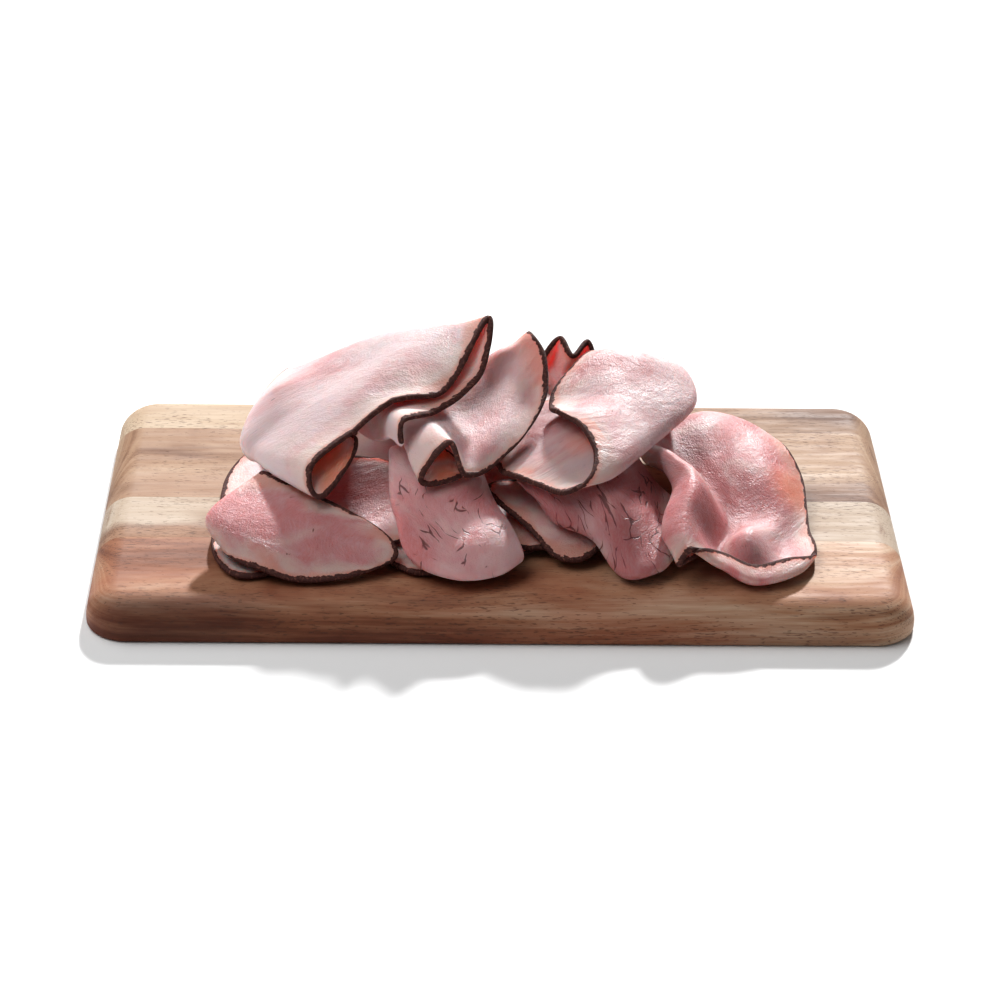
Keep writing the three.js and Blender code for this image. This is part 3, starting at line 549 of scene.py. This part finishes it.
def height_range(verts, faces):
    top = np.full((MAP_ROWS, MAP_COLUMNS), -EMPTY)
    bottom = np.full((MAP_ROWS, MAP_COLUMNS), EMPTY)
    t = verts[faces]
    xs, ys, zs = t[..., 0], t[..., 1], t[..., 2]
    low, high = zs.min(1), zs.max(1)
    n = np.cross(t[:, 1] - t[:, 0], t[:, 2] - t[:, 0])
    turn = np.where(n[:, 2] > 0, 1.0, -1.0)
    steep = abs(n[:, 2]) < 1e-6
    safe = np.where(steep, 1.0, n[:, 2])
    slope_x = np.where(steep, 0, -n[:, 0] / safe)
    slope_y = np.where(steep, 0, -n[:, 1] / safe)
    margin = (abs(slope_x) + abs(slope_y)) * CELL / 2
    i0 = np.floor((xs.min(1) - MAP_LEFT) / CELL).astype(int)
    i1 = np.floor((xs.max(1) - MAP_LEFT) / CELL).astype(int)
    j0 = np.floor((ys.min(1) - MAP_FRONT) / CELL).astype(int)
    j1 = np.floor((ys.max(1) - MAP_FRONT) / CELL).astype(int)
    for di in range((i1 - i0).max() + 1):
        for dj in range((j1 - j0).max() + 1):
            i, j = i0 + di, j0 + dj
            x = MAP_LEFT + (i + 0.5) * CELL
            y = MAP_FRONT + (j + 0.5) * CELL
            touches = (i <= i1) & (j <= j1)
            for k in range(3):
                m = (k + 1) % 3
                dx, dy = xs[:, m] - xs[:, k], ys[:, m] - ys[:, k]
                side = (dx * (y - ys[:, k]) - dy * (x - xs[:, k])) * turn
                touches &= side >= -(abs(dx) + abs(dy)) * CELL / 2
            here = zs[:, 0] + slope_x * (x - xs[:, 0]) + slope_y * (y - ys[:, 0])
            up = np.where(steep, high, np.clip(here + margin, low, high))
            down = np.where(steep, low, np.clip(here - margin, low, high))
            cell = (j[touches], i[touches])
            np.maximum.at(top, cell, up[touches])
            np.minimum.at(bottom, cell, down[touches])
    return top, bottom


def spread(field):
    for combine in (np.max, np.mean):
        for axis in (1, 0):
            width = [(0, 0), (0, 0)]
            width[axis] = (SPREAD, SPREAD)
            padded = np.pad(field, width, mode="edge")
            size = field.shape[axis]
            shifted = [np.take(padded, range(k, k + size), axis) for k in range(2 * SPREAD + 1)]
            field = combine(np.stack(shifted), axis=0)
    return field


def map_value(field, x, y):
    u = (x - MAP_LEFT) / CELL - 0.5
    v = (y - MAP_FRONT) / CELL - 0.5
    i = np.clip(np.floor(u).astype(int), 0, MAP_COLUMNS - 2)
    j = np.clip(np.floor(v).astype(int), 0, MAP_ROWS - 2)
    f, g = np.clip(u - i, 0, 1), np.clip(v - j, 0, 1)
    near = field[j, i] * (1 - f) + field[j, i + 1] * f
    far = field[j + 1, i] * (1 - f) + field[j + 1, i + 1] * f
    return near * (1 - g) + far * g


def lay(slice_, pile):
    """The lift map that settles a slice on the pile, which then includes it."""
    spans_along, spans_across = len(slice_["net"]) - 1, len(slice_["net"][0]) - 1
    a, b = np.meshgrid(np.linspace(-1, 1, spans_across * STEPS_PER_SPAN + 1),
                       np.linspace(-1, 1, spans_along * STEPS_PER_SPAN + 1))
    grid = middle_surface(slice_, a, b)
    total = np.zeros_like(pile)
    top, bottom = height_range(*plain_solid(grid))
    for _ in range(LAY_ROUNDS):
        need = np.where(bottom < EMPTY, np.maximum(0, pile + LAY_GAP - bottom), 0)
        if need.max() < SETTLED:
            break
        lift = spread(need)
        total += lift
        grid[..., 2] += map_value(lift, grid[..., 0], grid[..., 1])
        top, bottom = height_range(*plain_solid(grid))
    np.maximum(pile, top, out=pile)
    return total


# ---------------------------------------------------------------- fine slices
FINE_PER_SPAN, FINE_EXTRA = 14, 8
BEND_ROUNDS, BEND_REACH, SHARPEST_BEND = 12, 2, 0.17
PATTERN_STEP = 400.0


def graded(count):
    """Places in [-1, 1] that crowd towards both ends, where the rim is rounded."""
    middle = np.linspace(-0.94, 0.94, count)
    end = np.array([0.953, 0.965, 0.975, 0.984, 0.991, 0.996, 1.0])
    return np.concatenate([-end[::-1], middle, end])


def arc_from_start(grid, axis):
    steps = np.linalg.norm(np.diff(grid, axis=axis), axis=2)
    zero = np.zeros_like(np.take(steps, [0], axis))
    return np.concatenate([zero, np.cumsum(steps, axis=axis)], axis=axis)


def rim_distances(grid):
    """For each point, its distance in mm along the sheet to the left, right, first and last rim."""
    across, along = arc_from_start(grid, 1), arc_from_start(grid, 0)
    return np.stack([across, across[:, -1:] - across, along, along[-1:] - along])


def hollows(grid):
    """How sharply the sheet bends towards each of its skins, in 1/mm, smoothed over some millimetres."""
    bend = np.zeros(grid.shape[:2])
    n = surface_normals(grid)
    for axis in (0, 1):
        step = np.linalg.norm(np.gradient(grid, axis=axis), axis=2, keepdims=True)
        direction = np.gradient(grid, axis=axis) / step
        bend += (np.gradient(direction, axis=axis) / step * n).sum(2)
    both = np.stack([np.clip(bend, 0, SHARPEST_BEND), np.clip(-bend, 0, SHARPEST_BEND)])
    for _ in range(BEND_ROUNDS):
        for axis in (1, 2):
            width = [(0, 0), (0, 0), (0, 0)]
            width[axis] = (BEND_REACH, BEND_REACH)
            padded = np.pad(both, width, mode="edge")
            size = both.shape[axis]
            shifted = [np.take(padded, range(k, k + size), axis) for k in range(2 * BEND_REACH + 1)]
            both = np.mean(shifted, axis=0)
    return both


# Painted glow and shade inside folds: how much each 1/mm of smoothed bend paints the inside of a fold.
FOLD_GLOW_PER_BEND = 0.36
# Painted glow of light through a fold, on the skin that faces the glow's centre: centre and reach in net
# millimetres, and strength.
PAINTED_GLOWS = {
    "ham_left_top": [(-58, -31, 43, 20, 1.0), (-70, -20, 44, 20, 1.0)],
    "ham_mid_top": [(-20, -35, 46, 13, 1.0), (-24, -22, 48, 13, 1.0)],
    "ham_right_top": [(30, -20, 55, 22, 0.62)],
    "ham_right_end": [(118, -12, 32, 28, 0.80)],
}


def fine_slice(slice_, lift, index):
    spans_along, spans_across = len(slice_["net"]) - 1, len(slice_["net"][0]) - 1
    a, b = np.meshgrid(graded(FINE_PER_SPAN * spans_across + FINE_EXTRA),
                       graded(FINE_PER_SPAN * spans_along + FINE_EXTRA))
    grid = middle_surface(slice_, a, b)
    grid[..., 2] += map_value(lift, grid[..., 0], grid[..., 1])
    sides = rim_distances(grid)
    rim = sides.min(0)
    weights = 1 / (sides + 0.5) ** 3
    has_rind = (weights * np.array(slice_["rind"])[:, None, None]).sum(0) / weights.sum(0)
    half = SLICE_THICKNESS / 2
    swell = np.sqrt(np.clip(1 - (1 - np.clip(rim / half, 0, 1)) ** 2, 0, 1)) * half
    n = surface_normals(grid) * swell[..., None]
    rows, columns = grid.shape[:2]
    size = rows * columns
    ids = np.arange(size).reshape(rows, columns)
    inner = np.zeros((rows, columns), bool)
    inner[1:-1, 1:-1] = True
    under = ids.copy()
    under[inner] = size + np.arange(inner.sum())
    verts = np.concatenate([(grid + n).reshape(-1, 3), (grid - n)[inner]]) * MM
    quads = np.stack([ids[:-1, :-1], ids[:-1, 1:], ids[1:, 1:], ids[1:, :-1]], -1).reshape(-1, 4)
    back = np.stack([under[:-1, :-1], under[1:, :-1], under[1:, 1:], under[:-1, 1:]], -1).reshape(-1, 4)
    name = slice_["name"] + "_meat"
    data = bpy.data.meshes.new(name)
    faces = np.concatenate([quads, back])
    data.from_pydata(verts.tolist(), [], faces.tolist())
    data.shade_smooth()

    def attribute(label, kind, field, values):
        both = np.concatenate([values.reshape(size, -1), values[inner].reshape(int(inner.sum()), -1)])
        layer = data.attributes.new(label, kind, "POINT")
        layer.data.foreach_set(field, both.astype(np.float32).ravel())

    attribute("rim", "FLOAT", "value", rim)
    attribute("rind", "FLOAT", "value", has_rind)
    mid_across = arc_from_start(grid, 1)
    mid_along = arc_from_start(grid, 0)
    flat = np.stack([mid_across - mid_across[:, columns // 2: columns // 2 + 1],
                     mid_along - mid_along[rows // 2: rows // 2 + 1],
                     np.full(rim.shape, PATTERN_STEP * index)], -1)
    attribute("flat", "FLOAT_VECTOR", "vector", flat * MM)
    # painted glow and shade inside folds: warmer where the sheet bends, plus painted glow spots near the
    # listed centres
    painted_fold_glow = hollows(grid) * FOLD_GLOW_PER_BEND
    facing = surface_normals(grid)
    for x, y, z, radius, strength in PAINTED_GLOWS.get(slice_["name"], []):
        rise = float(map_value(lift, np.array([[float(x)]]), np.array([[float(y)]]))[0, 0])
        to_centre = np.array([x, y, z + rise]) - grid
        near = 0.11 * strength * np.clip(1.6 - 1.6 * np.linalg.norm(to_centre, axis=2) / radius, 0, 1)
        towards = (to_centre * facing).sum(2) > 0
        painted_fold_glow[0] = np.maximum(painted_fold_glow[0], near * towards)
        painted_fold_glow[1] = np.maximum(painted_fold_glow[1], near * ~towards)
    both = np.concatenate([painted_fold_glow[0].ravel(), painted_fold_glow[1][inner]])
    layer = data.attributes.new("painted_fold_glow", "FLOAT", "POINT")
    layer.data.foreach_set("value", both.astype(np.float32))
    check = bmesh.new()
    check.from_mesh(data)
    if check.calc_volume(signed=True) < 0:
        bmesh.ops.reverse_faces(check, faces=check.faces)
        check.to_mesh(data)
    check.free()
    piece = add_object(name, data, ham_material(name, slice_["cracks"], slice_["pink"], slice_["tone"]))
    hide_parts(slice_["name"])
    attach(piece, slice_["name"] + "_slice")


def ham_material(name, cracks, pink, tone):
    """Cooked smoked ham: pink muscle with pale seams and cracks, a pale margin and a dark rind."""
    n = Nodes(name)
    rim = n.add("ShaderNodeAttribute", attribute_name="rim").outputs["Fac"]
    rind = n.add("ShaderNodeAttribute", attribute_name="rind").outputs["Fac"]
    flat = n.add("ShaderNodeAttribute", attribute_name="flat").outputs["Vector"]
    drift = n.noise(flat, 28.0, 3.0, 0.5)
    push = n.vector("SUBTRACT", drift.outputs["Color"], (0.5, 0.5, 0.5))
    warped = n.vector("ADD", flat, n.scaled(push, (0.024, 0.024, 0.0)))
    blotch = n.noise(warped, 26.0, 4.0, 0.58)
    grain = n.noise(n.scaled(warped, (1500.0, 300.0, 400.0)), 1.0, 3.0, 0.65)
    middle = 0.62 - 0.24 * pink
    deep = n.between(blotch.outputs["Fac"], middle - 0.13, middle + 0.13)
    # tone scales the slice's colours: partly its own paleness, partly painted light
    pale_meat = tuple(tone * c for c in (0.61, 0.45 - 0.13 * pink, 0.455 - 0.13 * pink))
    deep_meat = tuple(tone * c for c in (0.49, 0.20 - 0.07 * pink, 0.205 - 0.07 * pink))
    colour = n.mix(deep, rgb(pale_meat), rgb(deep_meat))
    fibre_meat = tuple(tone * c for c in (0.62, 0.43, 0.43))
    colour = n.mix(n.between(grain.outputs["Fac"], 0.35, 0.75, 0.0, 0.22), colour, rgb(fibre_meat))
    # pale seams between the muscles
    seams = n.between(n.cells(warped, 15.0), 0.0, 0.07, 1.0, 0.0)
    broken = n.between(n.noise(flat, 50.0, 2.0).outputs["Fac"], 0.45, 0.62)
    seams = n.math("MULTIPLY", seams, broken)
    colour = n.mix(n.math("MULTIPLY", seams, 0.4), colour, rgb((0.60, 0.46, 0.42)))
    # painted glow and shade: the inside of a fold is painted deeper and warmer, standing in for light through
    # the sheet and shade in the crease
    painted_fold_glow = n.add("ShaderNodeAttribute", attribute_name="painted_fold_glow").outputs["Fac"]
    fold = n.between(painted_fold_glow, 0.040, 0.110)
    # pale margin inside the rind
    wander = n.noise(flat, 80.0, 3.0)
    margin_mm = n.between(wander.outputs["Fac"], 0.3, 0.7, 8.0, 23.0)
    margin = n.math("MULTIPLY", n.between(rim, 0.5, margin_mm, 1.0, 0.0), rind)
    colour = n.mix(n.math("MULTIPLY", margin, 0.85), colour, rgb((0.60 * tone, 0.44 * tone, 0.395 * tone)))
    colour = n.mix(n.math("MULTIPLY", fold, 0.85), colour, rgb((0.90, 0.24, 0.12)))
    # fine cracks where the muscle parts, widest in their middles
    crack_place = n.vector("ADD", n.scaled(warped, (1.0, 0.42, 1.0)), n.scaled(push, (0.012, 0.012, 0.0)))
    crack = n.cells(crack_place, 165.0)
    gates = n.noise(n.scaled(flat, (1.0, 0.7, 1.0)), 150.0, 2.0, 0.6)
    sound = 0.72 - 0.30 * cracks
    opening = n.between(gates.outputs["Fac"], sound, sound + 0.20, -0.02, 0.042, smooth=False)
    crack_line = n.between(n.math("SUBTRACT", crack, opening), -0.012, 0.012, 1.0, 0.0)
    crack_line = n.math("MULTIPLY", crack_line, n.between(rim, 3.0, 8.0))
    colour = n.mix(n.math("MULTIPLY", crack_line, 0.85), colour, rgb((0.11, 0.020, 0.020)))
    # a few dark specks of pepper
    specks = n.between(n.cells(flat, 95.0, "F1"), 0.04, 0.07, 1.0, 0.0)
    rare = n.between(n.noise(flat, 41.0, 0.0).outputs["Fac"], 0.60, 0.62)
    specks = n.math("MULTIPLY", specks, rare)
    colour = n.mix(n.math("MULTIPLY", specks, 0.7), colour, rgb((0.12, 0.04, 0.035)))
    # rind
    ragged = n.noise(flat, 300.0, 3.0, 0.6)
    width = n.between(ragged.outputs["Fac"], 0.3, 0.7, 1.4, 2.5)
    edge = n.math("MULTIPLY", n.between(n.math("SUBTRACT", rim, width), -0.14, 0.14, 1.0, 0.0),
                  n.between(rind, 0.35, 0.6))
    bark = n.noise(flat, 900.0, 4.0, 0.7)
    bark_colour = n.mix(n.between(bark.outputs["Fac"], 0.50, 0.74), rgb((0.050, 0.010, 0.007)),
                        rgb((0.25, 0.085, 0.058)))
    # an orange-red band of varying width along the rind, fading inwards
    rind_band_mm = n.between(n.noise(flat, 32.0, 2.0).outputs["Fac"], 0.50, 0.66, 4.2, 17.0)
    rind_band = n.math("MULTIPLY", n.between(rim, 1.6, rind_band_mm, 0.62, 0.0), n.between(rind, 0.3, 0.7))
    colour = n.mix(rind_band, colour, rgb((0.56, 0.175, 0.11)))
    colour = n.mix(edge, colour, bark_colour)
    n.link(colour, n.shader.inputs["Base Color"])
    wet = n.noise(flat, 70.0, 4.0, 0.65)
    rough = n.between(wet.outputs["Fac"], 0.38, 0.62, 0.32, 0.60)
    n.link(n.mix(edge, rough, rgb((0.78, 0.78, 0.78))), n.shader.inputs["Roughness"])
    plain = n.math("SUBTRACT", 1.0, edge)
    shader = n.shader.inputs
    n.link(n.math("MULTIPLY", plain, 0.95), shader["Subsurface Weight"])
    shader["Subsurface Radius"].default_value = (1.0, 0.36, 0.27)
    shader["Subsurface Scale"].default_value = 0.006
    shader["Specular IOR Level"].default_value = 0.34
    n.link(n.math("MULTIPLY", plain, 0.12), shader["Coat Weight"])
    shader["Coat Roughness"].default_value = 0.3
    dimples = n.noise(flat, 1300.0, 3.0, 0.7)
    swells = n.noise(flat, 240.0, 3.0, 0.6)
    height = n.math("ADD", n.math("MULTIPLY", dimples.outputs["Fac"], 0.75),
                    n.math("MULTIPLY", grain.outputs["Fac"], 0.5))
    height = n.math("ADD", height, n.math("MULTIPLY", swells.outputs["Fac"], 1.3))
    height = n.math("SUBTRACT", height, n.math("MULTIPLY", crack_line, 0.8))
    height = n.math("ADD", height, n.math("MULTIPLY", n.math("MULTIPLY", edge, bark.outputs["Fac"]), 1.2))
    normal = n.bump(height, 0.0005, 0.8)
    n.link(normal, n.shader.inputs["Normal"])
    n.link(normal, n.shader.inputs["Coat Normal"])
    return n.material


pile = np.full((MAP_ROWS, MAP_COLUMNS), THICK)
for index, slice_ in enumerate(SLICES):
    fine_slice(slice_, lay(slice_, pile), index)

# ---------------------------------------------------------------- floor, lights and camera
FLOOR_REACH = 4
FLOOR_WHITE = 0.93
AMBIENT = 0.10
SUN_ENERGY, SUN_ANGLE, SUN_HEADING = 5.8, math.radians(5), (-28, -128, -80)
# Each softbox has a name, a size, a power and a place, and shines at the origin.
SOFTBOXES = [
    ("softbox_back", (1.4, 1.1), 12.0, (-0.75, 0.55, 1.5)),
    ("softbox_side", (1.2, 1.0), 11.0, (-0.95, -0.15, 1.5)),
]
CAMERA_DISTANCE = 1.1854
CAMERA_PITCH = math.radians(30)
CAMERA_YAW = math.radians(1.27)
CAMERA_ROLL = math.radians(-1.04)
CAMERA_LENS, CAMERA_SENSOR = 110.05, 36
OFFSET = (-0.0003, -0.0117)

floor_data = bpy.data.meshes.new("floor")
floor_corners = [(sx * FLOOR_REACH, sy * FLOOR_REACH, 0) for sx, sy in ((-1, -1), (1, -1), (1, 1), (-1, 1))]
floor_data.from_pydata(floor_corners, [], [(0, 1, 2, 3)])
floor_nodes = Nodes("floor")
floor_nodes.shader.inputs["Base Color"].default_value = rgb((FLOOR_WHITE,) * 3)
floor_nodes.shader.inputs["Roughness"].default_value = 0.9
floor_nodes.shader.inputs["Specular IOR Level"].default_value = 0.1
add_object("floor", floor_data, floor_nodes.material)

world = bpy.data.worlds.new("studio")
scene.world = world
world.use_nodes = True
world.node_tree.nodes["Background"].inputs["Color"].default_value = (1, 1, 1, 1)
world.node_tree.nodes["Background"].inputs["Strength"].default_value = AMBIENT


def aim(obj, towards):
    obj.rotation_euler = Vector(towards).to_track_quat("-Z", "Y").to_euler()


key = bpy.data.lights.new("key", "SUN")
key.energy = SUN_ENERGY
key.angle = SUN_ANGLE
key_object = bpy.data.objects.new("key", key)
scene.collection.objects.link(key_object)
aim(key_object, SUN_HEADING)

for box_name, box_size, box_power, box_place in SOFTBOXES:
    softbox = bpy.data.lights.new(box_name, "AREA")
    softbox.shape = "RECTANGLE"
    softbox.size, softbox.size_y = box_size
    softbox.energy = box_power
    softbox_object = bpy.data.objects.new(box_name, softbox)
    scene.collection.objects.link(softbox_object)
    softbox_object.location = box_place
    aim(softbox_object, [-c for c in box_place])

right = Vector((1, 0, 0))
up = Vector((0, math.sin(CAMERA_PITCH), math.cos(CAMERA_PITCH)))
ahead = Vector((0, math.cos(CAMERA_PITCH), -math.sin(CAMERA_PITCH)))
turn = Matrix.Rotation(-CAMERA_YAW, 3, "Z")
position = turn @ (-OFFSET[0] * right - OFFSET[1] * up - CAMERA_DISTANCE * ahead)
rolled_right = right * math.cos(CAMERA_ROLL) - up * math.sin(CAMERA_ROLL)
rolled_up = right * math.sin(CAMERA_ROLL) + up * math.cos(CAMERA_ROLL)
pose = Matrix((turn @ rolled_right, turn @ rolled_up, turn @ -ahead)).transposed().to_4x4()
pose.translation = position
camera_data = bpy.data.cameras.new("camera")
camera_data.sensor_width = CAMERA_SENSOR
camera_data.lens = CAMERA_LENS
camera = bpy.data.objects.new("camera", camera_data)
scene.collection.objects.link(camera)
camera.matrix_world = pose
scene.camera = camera
scene.view_settings.view_transform = "Standard"
